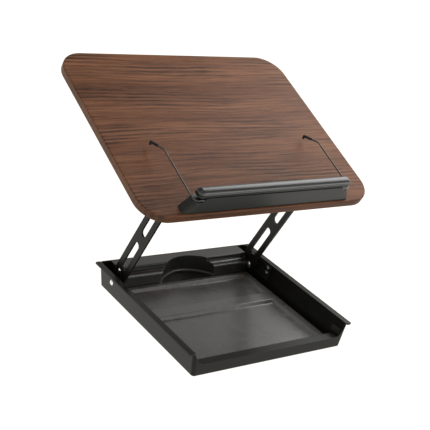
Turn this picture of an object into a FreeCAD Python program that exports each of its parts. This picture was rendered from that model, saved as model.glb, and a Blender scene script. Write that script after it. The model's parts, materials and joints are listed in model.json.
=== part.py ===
import FreeCAD, Part
import Sketcher
import math
import os
import re

from FreeCAD import Placement, Rotation, Vector

# Book stand with a storage tray, in millimetres.
# X runs to the reader's right, Y away from the reader, Z up.
# The origin is the centre of the tray's footprint, on the table.

X_AXIS = Vector(1, 0, 0)
Y_AXIS = Vector(0, 1, 0)
Z_AXIS = Vector(0, 0, 1)
SIDES = {"left": -1, "right": 1}

# Driving dimensions: name, value, what it is
DIMENSIONS = [
    ("mat_thick", 2, "rubber mat under the tray"),
    ("mat_inset", 12, "edges of the mat from the edges of the tray floor"),
    ("mat_corner", 10, "corners of the mat"),
    ("floor_width", 264.8, "tray floor, outside"),
    ("floor_depth", 252.9, "tray floor, outside, front to back"),
    ("tray_height", 38, "underside to the top of the side lips"),
    ("side_flare", 5.3, "side wall leans out by this over its height"),
    ("back_flare", 4.9, "back wall leans out by this over its height"),
    ("sheet", 2, "tray sheet thickness"),
    ("tray_corner", 5, "upright corners of the tray, outside"),
    ("tray_edge", 3, "bottom edges of the tray, outside"),
    ("lip_width", 7.3, "side lip outside the wall"),
    ("lip_corner", 2.5, "corners of the side lips"),
    ("front_height", 17.8, "top edge of the low front wall"),
    ("opening_foot", 248, "front opening, width at its foot"),
    ("opening_top", 274.2, "front opening, width at the lips"),
    ("opening_round", 7, "rounding at the foot of the front opening"),
    ("rail_depth", 12.5, "rail behind the front wall, front to back"),
    ("rail_drop", 0.5, "rail below the top edge of the front wall"),
    ("rail_sheet", 1.5, "rail sheet thickness"),
    ("fit_gap", 0.2, "clearance between fixed pieces of the tray"),
    ("cut_spare", 1, "cuts start or end this far outside a face"),
    ("insert_width", 243.2, "moulded floor insert"),
    ("insert_gap", 0.5, "gap between the insert and the rear block"),
    ("insert_thick", 6, "moulded floor insert"),
    ("insert_corner", 4, "corners of the insert"),
    ("recess_width", 220, "both recesses, at their rims"),
    ("recess_depth", 4.8, "recess floor below the insert's top"),
    ("recess_slope", 3.4, "width of a recess's sloping sides"),
    ("recess_round", 1.2, "rounded rims and feet of the recess sides"),
    ("rear_margin", 7, "rear recess's rim from the back of the insert"),
    ("rear_recess_depth", 60, "rear recess, front to back"),
    ("recess_rib", 21, "flat between the recesses"),
    ("front_margin", 5.75, "front recess's rim from the front of the insert"),
    ("deck_width", 237.4, "rear block, side to side"),
    ("deck_foot_depth", 29.95, "rear block's foot in front of the floor's back edge"),
    ("deck_top_depth", 20.95, "deck's edge in front of the floor's back edge"),
    ("deck_edge_round", 1.5, "rounding of the deck's front edge"),
    ("nosing_top", 31, "top of the rounded nosing above the underside"),
    ("nosing_round", 8.2, "radius of the nosing"),
    ("cove_round", 0.7, "hollow corner between nosing and deck face"),
    ("scoop_x", 4, "finger scoop, right of the centre"),
    ("scoop_ahead", 36.5, "centre of the finger scoop in front of the rear block"),
    ("scoop_top_radius", 58.5, "finger scoop at the deck"),
    ("scoop_foot_radius", 63.8, "finger scoop at its floor"),
    ("scoop_floor", 8, "floor of the scoop above the underside"),
    ("scoop_round", 4, "rounding at the foot of the scoop wall"),
    ("pivot_back", 34.45, "arm pivot in front of the floor's back edge"),
    ("pivot_z", 23.7, "arm pivot above the tray underside"),
    ("pin_radius", 3, "pivot pin"),
    ("pin_head_radius", 4.2, "domed head of the pivot pin"),
    ("pin_head_height", 2, "domed head of the pivot pin"),
    ("running_gap", 0.05, "radial clearance of a turning fit"),
    ("side_gap", 0.15, "clearance between turning faces"),
    ("bracket_ahead", 40, "front end of the wall bracket from the pivot"),
    ("bracket_length", 49, "wall bracket, front to back"),
    ("bracket_foot", 13, "lower edge of the bracket, up the wall"),
    ("bracket_height", 22.5, "wall bracket, up the wall"),
    ("bracket_thick", 2.5, "wall bracket"),
    ("bracket_corner", 4, "corners of the wall bracket"),
    ("boss_radius", 5.3, "boss of the wall bracket round the pin"),
    ("boss_face", 128.6, "inner face of the boss from the centre"),
    ("screws_ahead", 32, "front screws of the wall bracket from the pivot"),
    ("bracket_screw_low", 24, "lower screw, up the wall"),
    ("bracket_screw_high", 32.2, "upper screws, up the wall"),
    ("small_screw_radius", 1.5, "bracket screws and arm rivets"),
    ("small_head_radius", 2.8, "bracket screws and arm rivets"),
    ("small_head_height", 1.4, "bracket screws and arm rivets"),
    ("screw_bite", 1.3, "screw ends in the tray wall"),
    ("sleeve_radius", 5, "steel sleeve between arm and bracket"),
    ("washer_thick", 0.6, "friction washers"),
    ("washer_radius", 6.5, "friction washers"),
    ("block_start", 5.2, "corner block behind the front of the tray"),
    ("block_length", 18, "corner block, front to back"),
    ("block_height", 8.7, "corner block above the rail"),
    ("block_thick", 3.6, "corner block at its foot"),
    ("block_round", 1.2, "inner edges of the corner block"),
    ("arm_face", 119.6, "inner face of an arm from the centre"),
    ("arm_thick", 3, "arm plate"),
    ("arm_width", 31, "arm plate"),
    ("arm_offset", 7.7, "arm's centre line behind the pivot"),
    ("arm_angle", 24.7, "arm leans forward from upright, as it stands"),
    ("arm_length", 199.04, "pivot to cross rod, along the arm"),
    ("rod_offset", 15, "cross rod behind the pivot's line"),
    ("arm_heel", 9, "rear edge of the arm starts above the pivot"),
    ("arm_shoulder", 175, "front edge of the arm ends above the pivot"),
    ("slot_width", 12, "slots in the arm"),
    ("slot_start", 19.5, "lower slot above the pivot"),
    ("slot_length", 61, "lower slot"),
    ("web_length", 17, "web between the slots"),
    ("upper_slot_length", 58, "upper slot"),
    ("leaf_thick", 2, "hinge leaf riveted outside the arm"),
    ("rivet_along", 14.5, "arm rivet above the pivot"),
    ("rivet_offset", 10, "arm rivet behind the pivot's line"),
    ("leaf_pin_radius", 7.1, "hinge leaf round the pin"),
    ("leaf_end_radius", 4.2, "hinge leaf round the rivet"),
    ("rod_radius", 4, "cross rod between the arms"),
    ("rod_nut_radius", 6.5, "cap nuts of the cross rod"),
    ("rod_nut_length", 3.6, "cap nuts of the cross rod"),
    ("board_width", 400, "reading board"),
    ("board_length", 320, "reading board"),
    ("board_thick", 12, "reading board"),
    ("board_corner", 40, "corners of the board"),
    ("board_edge", 1.8, "eased edges of the board"),
    ("board_angle", 22.05, "board from level, as it stands"),
    ("rod_below_board", 9, "cross rod's axis under the board"),
    ("rod_down_board", 245.43, "cross rod from the board's upper edge"),
    ("knuckle_length", 18, "knuckle of the board bracket"),
    ("knuckle_radius", 7.8, "knuckle of the board bracket"),
    ("leaf_length", 46, "board bracket behind the rod"),
    ("leaf_width", 30, "board bracket, side to side"),
    ("board_leaf_thick", 2.5, "board bracket"),
    ("leaf_screw_near", 20, "front screws of the board bracket behind the rod"),
    ("leaf_screw_far", 39, "rear screw of the board bracket behind the rod"),
    ("leaf_screw_spread", 7.4, "front screws from the bracket's middle"),
    ("board_screw_radius", 2, "screws into the board"),
    ("board_screw_depth", 9, "screws into the board"),
    ("board_head_radius", 3.8, "screws into the board"),
    ("board_head_height", 1.5, "screws into the board"),
    ("lid_pad_radius", 7, "rubber pads under the board"),
    ("lid_pad_x", 90, "rubber pads from the centre"),
    ("lid_pad_back", 9.45, "rubber pads over the deck when shut, from the floor's back edge"),
    ("lid_pad_gap", 0.3, "pads above the deck when shut"),
    ("ledge_start", 2.7, "ledge from the board's lower edge"),
    ("ledge_depth", 17.8, "ledge along the board"),
    ("ledge_foot_length", 293.2, "ledge at the board"),
    ("ledge_top_length", 268, "ledge at its notches"),
    ("ledge_height", 20.5, "ledge up to its notches"),
    ("ledge_corner", 6.5, "upright corners of the ledge"),
    ("ledge_screw_x", 111, "outer screws of the ledge from the centre"),
    ("notch_height", 6.9, "notches for the clips"),
    ("notch_span", 247, "between the end walls of the notches, at their foot"),
    ("notch_top_span", 238, "between the end walls of the notches, at their top"),
    ("neck_height", 3.4, "band under the cap"),
    ("neck_inset", 1, "band inside the ledge's outline"),
    ("groove_height", 1, "shadow gap under the cap"),
    ("groove_inset", 3.4, "shadow gap inside the cap's outline"),
    ("groove_corner", 4, "corners of the shadow gap's core"),
    ("cap_length", 267, "cap of the ledge"),
    ("cap_depth", 15.2, "cap of the ledge along the board"),
    ("cap_start", 3.3, "cap from the board's lower edge"),
    ("cap_height", 5.7, "cap of the ledge"),
    ("cap_corner", 7.2, "upright corners of the cap"),
    ("cap_dome", 4.6, "rounded top of the cap"),
    ("cap_brim", 0.6, "rounded lower rim of the cap"),
    ("clip_radius", 1.1, "clip wire"),
    ("clip_axis_up", 4.4, "clip hinge from the board's lower edge"),
    ("clip_axis_high", 22.8, "clip hinge above the board"),
    ("clip_reach", 137.4, "clip arm from the centre"),
    ("clip_socket", 6, "clip wire inside the ledge"),
    ("clip_bend", 8, "first bend of the clip wire"),
    ("clip_straight", 93, "clip hinge to the second bend"),
    ("clip_knee", 6, "radius of the second bend"),
    ("clip_turn_angle", 27.7, "second bend, towards the board"),
    ("clip_end", 31, "second bend to the end of the wire"),
    ("clip_angle", 0.7, "page clips from the board's slope, as they rest"),
    ("tip_radius", 1.9, "rubber tip"),
    ("tip_length", 15, "rubber tip on the wire"),
    ("tip_toe", 3, "end of the rubber tip, turned to the board"),
    ("tip_hook_angle", 77, "turn of that end from the wire"),
]

doc = FreeCAD.newDocument("BookStand")
sheet = doc.addObject("Spreadsheet::Sheet", "Sizes")
for row, (alias, value, meaning) in enumerate(DIMENSIONS, start=1):
    sheet.set(f"A{row}", str(value))
    sheet.setAlias(f"A{row}", alias)
    sheet.set(f"B{row}", meaning)
doc.recompute()

nodes = {}


def size(name):
    """A driving dimension as a number."""
    return float(sheet.get(name))


def number(text):
    """The value of a formula over the driving dimensions."""
    result = sheet.evalExpression(text)
    return float(getattr(result, "Value", result))


def bound(text):
    """The same formula as another object of the document reads it."""
    return re.sub(r"[a-z]\w*\b(?!\()", lambda word: f"Sizes.{word.group()}", text)


def bind(target, prop, text):
    """Ties a property to a formula over the driving dimensions."""
    target.setExpression(prop, bound(text))


def keep(name, solid):
    """Names a finished sub-part."""
    solid.Label = name
    nodes[name] = solid
    return solid


# Sketches and sketch-based features


def new_body(name, placement=None):
    body = doc.addObject("PartDesign::Body", name)
    if placement is not None:
        body.Placement = placement
    return body


def sketch_on(body, role, lift="0"):
    """A sketch on one of the body's own origin planes, lifted along its normal."""
    plane = [p for p in body.Origin.OriginFeatures if p.Role == role][0]
    sketch = body.newObject("Sketcher::SketchObject", "Outline")
    sketch.AttachmentSupport = [(plane, "")]
    sketch.MapMode = "FlatFace"
    bind(sketch, "AttachmentOffset.Base.z", lift)
    return sketch


def set_distance(sketch, kind, element, point, text):
    index = sketch.addConstraint(Sketcher.Constraint(kind, element, point, number(text)))
    bind(sketch, f"Constraints[{index}]", text)


def place_point(sketch, element, point, place):
    set_distance(sketch, "DistanceX", element, point, place[0])
    set_distance(sketch, "DistanceY", element, point, place[1])


def polygon(sketch, corners):
    """A closed outline through corners given as pairs of formulas."""
    spots = [Vector(number(u), number(v), 0) for u, v in corners]
    first = sketch.GeometryCount
    count = len(spots)
    for index in range(count):
        sketch.addGeometry(Part.LineSegment(spots[index], spots[(index + 1) % count]))
    for index in range(count):
        following = first + (index + 1) % count
        sketch.addConstraint(Sketcher.Constraint("Coincident", first + index, 2, following, 1))
    for index in range(count):
        place_point(sketch, first + index, 1, corners[index])


def rectangle(sketch, left, right, low, high):
    polygon(sketch, [(left, low), (right, low), (right, high), (left, high)])


def circle(sketch, centre, radius):
    spot = Vector(number(centre[0]), number(centre[1]), 0)
    element = sketch.addGeometry(Part.Circle(spot, Z_AXIS, number(radius)))
    place_point(sketch, element, 3, centre)
    index = sketch.addConstraint(Sketcher.Constraint("Radius", element, number(radius)))
    bind(sketch, f"Constraints[{index}]", radius)


def slot(sketch, centre_u, low, high, width):
    """An upright slot with round ends; low and high are its extreme ends."""
    radius = f"({width}) / 2"
    low_centre = (centre_u, f"({low}) + ({width}) / 2")
    high_centre = (centre_u, f"({high}) - ({width}) / 2")
    u = number(centre_u)
    r = number(radius)
    v_low = number(low_centre[1])
    v_high = number(high_centre[1])
    lower_circle = Part.Circle(Vector(u, v_low, 0), Z_AXIS, r)
    upper_circle = Part.Circle(Vector(u, v_high, 0), Z_AXIS, r)
    lower = sketch.addGeometry(Part.ArcOfCircle(lower_circle, math.pi, 2 * math.pi))
    upper = sketch.addGeometry(Part.ArcOfCircle(upper_circle, 0, math.pi))
    right = sketch.addGeometry(Part.LineSegment(Vector(u + r, v_low, 0), Vector(u + r, v_high, 0)))
    left = sketch.addGeometry(Part.LineSegment(Vector(u - r, v_high, 0), Vector(u - r, v_low, 0)))
    for a, a_end, b, b_end in ((lower, 2, right, 1), (right, 2, upper, 1),
                               (upper, 2, left, 1), (left, 2, lower, 1)):
        sketch.addConstraint(Sketcher.Constraint("Tangent", a, a_end, b, b_end))
    place_point(sketch, lower, 3, low_centre)
    place_point(sketch, upper, 3, high_centre)
    index = sketch.addConstraint(Sketcher.Constraint("Radius", lower, r))
    bind(sketch, f"Constraints[{index}]", radius)


def pad(body, sketch, length, midplane=False, backwards=False):
    feature = body.newObject("PartDesign::Pad", "Pad")
    feature.Profile = sketch
    bind(feature, "Length", length)
    feature.Midplane = midplane
    feature.Reversed = backwards
    doc.recompute()
    return feature


def pocket(body, sketch, length, midplane=False, backwards=False):
    """Cuts the sketch out of the body, and stops if nothing was cut."""
    before = body.Shape.Volume
    feature = body.newObject("PartDesign::Pocket", "Pocket")
    feature.Profile = sketch
    bind(feature, "Length", length)
    feature.Midplane = midplane
    feature.Reversed = backwards
    doc.recompute()
    if not body.Shape.Volume < before:
        raise RuntimeError(f"{body.Name}: a pocket cuts nothing")
    return feature


def wedge(body, kind, low_level, low, high_level, high):
    """A block with four flat sides; low and high are its left, right, front and back."""
    feature = body.newObject(kind, "Wedge")
    feature.Placement = Placement(Vector(), Rotation(X_AXIS, 90))
    reach = {"Ymin": low_level, "Xmin": low[0], "Xmax": low[1],
             "Zmin": f"-({low[3]})", "Zmax": f"-({low[2]})",
             "Ymax": high_level, "X2min": high[0], "X2max": high[1],
             "Z2min": f"-({high[3]})", "Z2max": f"-({high[2]})"}
    for prop, text in reach.items():
        bind(feature, prop, text)
    doc.recompute()
    return feature


def round_edges(body, radius, wanted):
    """Fillets the edges of the body's tip that the test picks."""
    base = body.Tip
    names = []
    for index, edge in enumerate(base.Shape.Edges, start=1):
        if wanted(edge):
            names.append(f"Edge{index}")
    if not names:
        raise RuntimeError(f"{body.Name}: no edge to round")
    feature = body.newObject("PartDesign::Fillet", "Fillet")
    feature.Base = (base, names)
    bind(feature, "Radius", radius)
    doc.recompute()
    return feature


def upright(edge, lean=0.2):
    """An edge that runs mostly along Z."""
    box = edge.BoundBox
    return box.ZLength > 0.5 and box.XLength <= lean * box.ZLength and box.YLength <= lean * box.ZLength


def level_at(edge, height):
    box = edge.BoundBox
    return abs(box.ZMin - height) < 0.01 and abs(box.ZMax - height) < 0.01


# Primitives and booleans


def cylinder(radius, height, base, direction=Z_AXIS):
    """A round bar from base along direction; radius and height are formulas."""
    solid = doc.addObject("Part::Cylinder", "Bar")
    bind(solid, "Radius", radius)
    bind(solid, "Height", height)
    solid.Placement = Placement(base, Rotation(Z_AXIS, direction))
    return solid


def box(length, width, height, placement):
    solid = doc.addObject("Part::Box", "Block")
    bind(solid, "Length", length)
    bind(solid, "Width", width)
    bind(solid, "Height", height)
    solid.Placement = placement
    return solid


def fuse(parts):
    solid = doc.addObject("Part::MultiFuse", "Joined")
    solid.Shapes = parts
    doc.recompute()
    return solid


def cut(base, tool):
    solid = doc.addObject("Part::Cut", "Cut")
    solid.Base = base
    solid.Tool = tool
    doc.recompute()
    return solid


def group(parts):
    solid = doc.addObject("Part::Compound", "Group")
    solid.Links = parts
    doc.recompute()
    return solid


def domed_head(radius, height, base, direction):
    """A low domed head: the top of a ball, standing on base; direction has length 1."""
    ball = f"({radius} * {radius} + {height} * {height}) / (2 * {height})"
    solid = doc.addObject("Part::Sphere", "Head")
    bind(solid, "Radius", ball)
    bind(solid, "Angle1", f"asin(({ball} - {height}) / ({ball}))")
    solid.Angle2 = 90
    centre = base - direction * number(f"{ball} - {height}")
    solid.Placement = Placement(centre, Rotation(Z_AXIS, direction))
    return solid


def ring(radius, bore, height, base, direction):
    return cut(cylinder(radius, height, base, direction),
               cylinder(bore, height, base, direction))


# Places along Y, from the tray's centre towards its back
PIVOT_Y = "(floor_depth / 2 - pivot_back)"
DECK_FACE = "(floor_depth / 2 - deck_foot_depth)"
DECK_EDGE = "(floor_depth / 2 - deck_top_depth)"
INSERT_FRONT = "(-floor_depth / 2 + sheet + rail_depth + fit_gap)"
INSERT_BACK = f"({DECK_FACE} - insert_gap)"

# Place of the cross rod up the board, from its lower edge
ROD_UP = "(board_length - rod_down_board)"

# Screws of a wall bracket: towards the back, and up the wall
BRACKET_SCREWS = ((f"{PIVOT_Y} - screws_ahead", "bracket_screw_low"),
                  (f"{PIVOT_Y} - screws_ahead", "bracket_screw_high"),
                  (PIVOT_Y, "bracket_screw_high"))

# Faces along X, from the centre: hinge leaf, nuts of the cross rod, board brackets
LEAF_OUTER = "arm_face + arm_thick + leaf_thick"
NUT_FACE = "arm_face + arm_thick + washer_thick + 2 * side_gap"
KNUCKLE_OUTER = "arm_face - washer_thick - 2 * side_gap"

# Frames that pieces share

TRAY = Placement(Vector(0, 0, size("mat_thick")), Rotation())
PIVOT = Vector(0, number(PIVOT_Y), size("mat_thick") + size("pivot_z"))
ARM = Placement(PIVOT, Rotation(X_AXIS, size("arm_angle")))
ROD = ARM.multVec(Vector(0, size("rod_offset"), size("arm_length")))
TILT = Rotation(X_AXIS, size("board_angle"))
ROD_IN_BOARD = Vector(0, number(ROD_UP), -size("board_thick") - size("rod_below_board"))
BOARD = Placement(ROD - TILT.multVec(ROD_IN_BOARD), TILT)
OUT_OF_BOARD = TILT.multVec(Z_AXIS)


def wall_lean():
    """Angle of the side walls from upright."""
    return math.degrees(math.atan2(size("side_flare"), size("tray_height")))


def wall_outside(height):
    """Outer face of a side wall from the centre, at a height above the underside."""
    return f"(floor_width / 2 + side_flare / tray_height * ({height}))"


def wall_inside(height):
    """Inner face of a side wall from the centre, at a height above the underside."""
    return f"({wall_outside(height)} - sheet * hypot(side_flare; tray_height) / tray_height)"


def wall_frame(side):
    """Origin at the foot of the wall's inner face, Z up the wall, X along its normal."""
    foot = Vector(side * number(wall_inside("0")), 0, size("mat_thick"))
    return Placement(foot, Rotation(Y_AXIS, side * wall_lean()))


def signed(side, text):
    """A formula for the left or the right side."""
    return text if side > 0 else f"-({text})"


# Tray


def tray_shell():
    body = new_body("tray_shell", TRAY)
    half = "floor_width / 2"
    top_half = "floor_width / 2 + side_flare"
    front = "-floor_depth / 2"
    wedge(body, "PartDesign::AdditiveWedge",
          "0", (f"-{half}", half, front, "floor_depth / 2"),
          "tray_height", (f"-({top_half})", top_half, front, "floor_depth / 2 + back_flare"))
    round_edges(body, "tray_corner", lambda edge: upright(edge, 0.3))
    round_edges(body, "tray_edge", lambda edge: level_at(edge, 0))

    # Hollow the pan
    top_face = [f"Face{i}" for i, face in enumerate(body.Tip.Shape.Faces, start=1)
                if level_at(face, size("tray_height"))]
    solid = body.Tip
    hollow = body.newObject("PartDesign::Thickness", "Hollow")
    hollow.Base = (solid, top_face)
    bind(hollow, "Value", "sheet")
    hollow.Reversed = True
    hollow.Mode = 0
    hollow.Join = 0
    doc.recompute()

    # Side lips
    for side in ("-", ""):
        lip = sketch_on(body, "XY_Plane", "tray_height - sheet")
        inner = f"{side}(floor_width / 2 + side_flare - sheet / 2)"
        outer = f"{side}(floor_width / 2 + side_flare + lip_width)"
        edges = (inner, outer) if side == "" else (outer, inner)
        rectangle(lip, edges[0], edges[1], front, "floor_depth / 2 + back_flare")
        pad(body, lip, "sheet")
    outer_half = size("floor_width") / 2 + size("side_flare") + size("lip_width")
    round_edges(body, "lip_corner", lambda edge: upright(edge) and edge.BoundBox.XMax ** 2
                > (outer_half - 0.01) ** 2 and abs(edge.BoundBox.ZLength - size("sheet")) < 0.01)

    # Low front with a rounded opening
    opening = sketch_on(body, "XZ_Plane", "floor_depth / 2 + cut_spare")
    polygon(opening, [("-opening_foot / 2", "front_height"),
                      ("opening_foot / 2", "front_height"),
                      ("opening_top / 2", "tray_height"),
                      ("opening_top / 2", "tray_height + cut_spare"),
                      ("-opening_top / 2", "tray_height + cut_spare"),
                      ("-opening_top / 2", "tray_height")])
    pocket(body, opening, "sheet + 2 * fit_gap + cut_spare")
    foot_half = size("opening_foot") / 2
    round_edges(body, "opening_round", lambda edge: level_at(edge, size("front_height"))
                and abs(abs(edge.BoundBox.Center.x) - foot_half) < 0.01
                and edge.BoundBox.YLength > 1 and edge.BoundBox.XLength < 0.01)

    # Holes for the pivot pins, and blind ones for the bracket screws
    pins = sketch_on(body, "YZ_Plane")
    circle(pins, (PIVOT_Y, "pivot_z"), "pin_radius + running_gap")
    pocket(body, pins, "floor_width + 4 * tray_height", midplane=True)
    facing = Placement(Vector(), Rotation(Y_AXIS, Z_AXIS, X_AXIS, "ZXY"))
    for side in SIDES.values():
        bores = body.newObject("Sketcher::SketchObject", "Bores")
        bores.Placement = TRAY.inverse().multiply(wall_frame(side)).multiply(facing)
        for place in BRACKET_SCREWS:
            circle(bores, place, "small_screw_radius")
        pocket(body, bores, "screw_bite", backwards=(side > 0))
    return keep("tray_shell", body)


def front_rail():
    """A folded strip behind the low front wall: a shelf and a leg down to the floor."""
    body = new_body("front_rail", TRAY)
    front = "-floor_depth / 2 + sheet + fit_gap"
    back = "-floor_depth / 2 + sheet + rail_depth"
    under = "front_height - rail_drop - rail_sheet"
    reach = f"{wall_inside(under)} - fit_gap"
    shelf = sketch_on(body, "XY_Plane", under)
    rectangle(shelf, f"-({reach})", reach, front, back)
    pad(body, shelf, "rail_sheet")
    round_edges(body, "tray_corner - sheet + fit_gap",
                lambda edge: upright(edge) and edge.BoundBox.YMax < number(front) + 0.01)
    leg = sketch_on(body, "XY_Plane", "sheet")
    rectangle(leg, "-floor_width / 2 + 2 * sheet", "floor_width / 2 - 2 * sheet",
              f"{back} - rail_sheet", back)
    pad(body, leg, f"{under} - sheet")
    fold = number(under) + size("rail_sheet")
    round_edges(body, "rail_sheet / 2", lambda edge: level_at(edge, fold)
                and abs(edge.BoundBox.YMin - number(back)) < 0.01)
    return keep("front_rail", body)


def floor_insert():
    body = new_body("floor_insert", TRAY)
    outline = sketch_on(body, "XY_Plane", "sheet")
    half = "insert_width / 2"
    rectangle(outline, f"-{half}", half,
              INSERT_FRONT, INSERT_BACK)
    pad(body, outline, "insert_thick")
    round_edges(body, "insert_corner", upright)
    top = size("sheet") + size("insert_thick")
    foot = top - size("recess_depth")
    rear_front = f"({INSERT_BACK} - rear_margin - rear_recess_depth)"
    recesses = ((rear_front, f"{INSERT_BACK} - rear_margin"),
                (f"{INSERT_FRONT} + front_margin", f"{rear_front} - recess_rib"))
    for front, back in recesses:
        rim = ("-recess_width / 2", "recess_width / 2", front, back)
        bed = ("-recess_width / 2 + recess_slope", "recess_width / 2 - recess_slope",
               f"{front} + recess_slope", f"{back} - recess_slope")
        wedge(body, "PartDesign::SubtractiveWedge",
              "sheet + insert_thick - recess_depth", bed, "sheet + insert_thick", rim)
    inside = size("insert_width") / 2 - size("cut_spare")

    def recess_edge(edge):
        in_reach = max(abs(edge.BoundBox.XMin), abs(edge.BoundBox.XMax)) < inside
        return in_reach and (level_at(edge, top) or level_at(edge, foot))

    def recess_corner(edge):
        box = edge.BoundBox
        return box.ZLength > size("recess_depth") - 0.01 and max(abs(box.XMin), abs(box.XMax)) < inside

    round_edges(body, "insert_corner", recess_corner)
    round_edges(body, "recess_round", recess_edge)
    return keep("floor_insert", body)


def rear_block():
    """The moulding across the back: a deck, a rounded nosing and a finger scoop."""
    body = new_body("rear_block", TRAY)
    profile = sketch_on(body, "YZ_Plane")
    back_low = "floor_depth / 2 - sheet - fit_gap"
    back_high = "floor_depth / 2 + back_flare - sheet - fit_gap"
    polygon(profile, [(DECK_FACE, "sheet"), (back_low, "sheet"), (back_high, "tray_height"),
                      (DECK_EDGE, "tray_height"), (DECK_EDGE, "nosing_top"),
                      (DECK_FACE, "nosing_top")])
    pad(body, profile, "deck_width", midplane=True)

    def long_edge(y, z):
        return lambda edge: (edge.BoundBox.XLength > size("deck_width") / 2
                             and abs(edge.BoundBox.YMin - number(y)) < 0.01
                             and abs(edge.BoundBox.ZMax - number(z)) < 0.01)

    round_edges(body, "nosing_round", long_edge(DECK_FACE, "nosing_top"))
    round_edges(body, "cove_round", long_edge(DECK_EDGE, "nosing_top"))
    round_edges(body, "deck_edge_round", long_edge(DECK_EDGE, "tray_height"))
    round_edges(body, "tray_edge - sheet", long_edge(back_low, "sheet"))

    scoop = sketch_on(body, "YZ_Plane", "scoop_x")
    bind(scoop, "AttachmentOffset.Base.x", f"{DECK_FACE} - scoop_ahead")
    rise = "(tray_height + cut_spare - scoop_floor) / (tray_height - scoop_floor)"
    top_radius = f"scoop_foot_radius + (scoop_top_radius - scoop_foot_radius) * {rise}"
    polygon(scoop, [("0", "scoop_floor"), ("scoop_foot_radius", "scoop_floor"),
                    (top_radius, "tray_height + cut_spare"), ("0", "tray_height + cut_spare")])
    before = body.Shape.Volume
    groove = body.newObject("PartDesign::Groove", "Scoop")
    groove.Profile = scoop
    groove.ReferenceAxis = (scoop, ["V_Axis"])
    groove.Angle = 360
    doc.recompute()
    if not body.Shape.Volume < before:
        raise RuntimeError("rear_block: the scoop cuts nothing")
    round_edges(body, "scoop_round", lambda edge: level_at(edge, size("scoop_floor"))
                and edge.BoundBox.XLength < size("deck_width") / 2
                and edge.BoundBox.YLength > size("scoop_round"))
    return keep("rear_block", body)


def grip_mat():
    """A rubber sheet under the tray, which stands on it."""
    body = new_body("grip_mat", TRAY)
    half = "floor_width / 2 - mat_inset"
    depth = "floor_depth / 2 - mat_inset"
    outline = sketch_on(body, "XY_Plane", "-mat_thick")
    rectangle(outline, f"-({half})", half, f"-({depth})", depth)
    pad(body, outline, "mat_thick")
    round_edges(body, "mat_corner", upright)
    return keep("grip_mat", body)


def corner_blocks():
    """Rubber blocks on the rail's ends, against the side walls."""
    foot = "front_height - rail_drop"
    top = f"{foot} + block_height"
    blocks = []
    for word, side in SIDES.items():
        body = new_body(f"{word}_corner_block", TRAY)
        profile = sketch_on(body, "XZ_Plane", "floor_depth / 2 - block_start")
        inner = signed(side, f"{wall_inside(foot)} - block_thick")
        polygon(profile, [(inner, foot), (signed(side, wall_inside(foot)), foot),
                          (signed(side, wall_inside(top)), top), (inner, top)])
        pad(body, profile, "block_length", backwards=True)
        face = number(inner)
        round_edges(body, "block_round", lambda edge: abs(edge.BoundBox.XMin - face) < 0.01
                    and abs(edge.BoundBox.XMax - face) < 0.01)
        blocks.append(body)
    return keep("corner_blocks", group(blocks))


# Arm pivots on the side walls


def hinge_bracket(name, side):
    """A plate on the wall with a boss round the pin."""
    frame = wall_frame(side)
    inward = -side * size("bracket_thick")
    low_corner = Vector(min(inward, 0), number(f"{PIVOT_Y} - bracket_ahead"), size("bracket_foot"))
    plate = box("bracket_thick", "bracket_length", "bracket_height",
                frame.multiply(Placement(low_corner, Rotation())))
    doc.recompute()
    corners = []
    for index, edge in enumerate(plate.Shape.Edges, start=1):
        across = edge.BoundBox
        if across.YLength < 0.01 and across.ZLength < across.XLength:
            corners.append((index, size("bracket_corner"), size("bracket_corner")))
    rounded = doc.addObject("Part::Fillet", "Plate")
    rounded.Base = plate
    rounded.Edges = corners
    doc.recompute()
    outward = Vector(side, 0, 0)
    boss = cylinder("boss_radius", f"{wall_inside('pivot_z')} - bracket_thick / 2 - boss_face",
                    PIVOT + outward * size("boss_face"), outward)
    solid = fuse([rounded, boss])
    bore = cylinder("pin_radius + running_gap", "tray_height",
                    PIVOT + outward * number("boss_face - cut_spare"), outward)
    solid = cut(solid, bore)
    for start, normal in bracket_screw_lines(side, "2 * bracket_thick"):
        hole = cylinder("small_screw_radius + running_gap", "3 * bracket_thick", start, normal)
        solid = cut(solid, hole)
    return keep(name, solid)


def bracket_screw_lines(side, depth):
    """Points above the wall at a depth of metal, each with the way into the wall."""
    frame = wall_frame(side)
    normal = frame.Rotation.multVec(Vector(side, 0, 0))
    lines = []
    for place, up in BRACKET_SCREWS:
        spot = Vector(-side * number(depth), number(place), number(up))
        lines.append((frame.multVec(spot), normal))
    return lines


def bracket_screws(name, side):
    screws = []
    for face, normal in bracket_screw_lines(side, "bracket_thick"):
        head = domed_head("small_head_radius", "small_head_height", face, normal * -1)
        shank = cylinder("small_screw_radius", "bracket_thick + screw_bite", face, normal)
        screws.append(fuse([head, shank]))
    return keep(name, group(screws))


def pivot_pin(name, side):
    """A pin through the wall, riveted over inside the arm."""
    outward = Vector(side, 0, 0)
    inner = "arm_face - side_gap - washer_thick"
    clear = "pin_head_radius * side_flare / tray_height + side_gap"
    outer = f"{wall_outside('pivot_z')} + {clear}"
    shank = cylinder("pin_radius", f"{outer} - ({inner})", PIVOT + outward * number(inner), outward)
    outer_head = domed_head("pin_head_radius", "pin_head_height",
                            PIVOT + outward * number(outer), outward)
    inner_head = domed_head("pin_head_radius", "small_head_height",
                            PIVOT + outward * number(inner), outward * -1)
    return keep(name, fuse([shank, outer_head, inner_head]))


def pivot_sleeve(name, side):
    """A spacer between the wall bracket and the outer washer."""
    inner = f"{LEAF_OUTER} + washer_thick + 2 * side_gap"
    outward = Vector(side, 0, 0)
    sleeve = ring("sleeve_radius", "pin_radius + running_gap", f"boss_face - ({inner})",
                  PIVOT + outward * number(inner), outward)
    return keep(name, sleeve)


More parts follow.
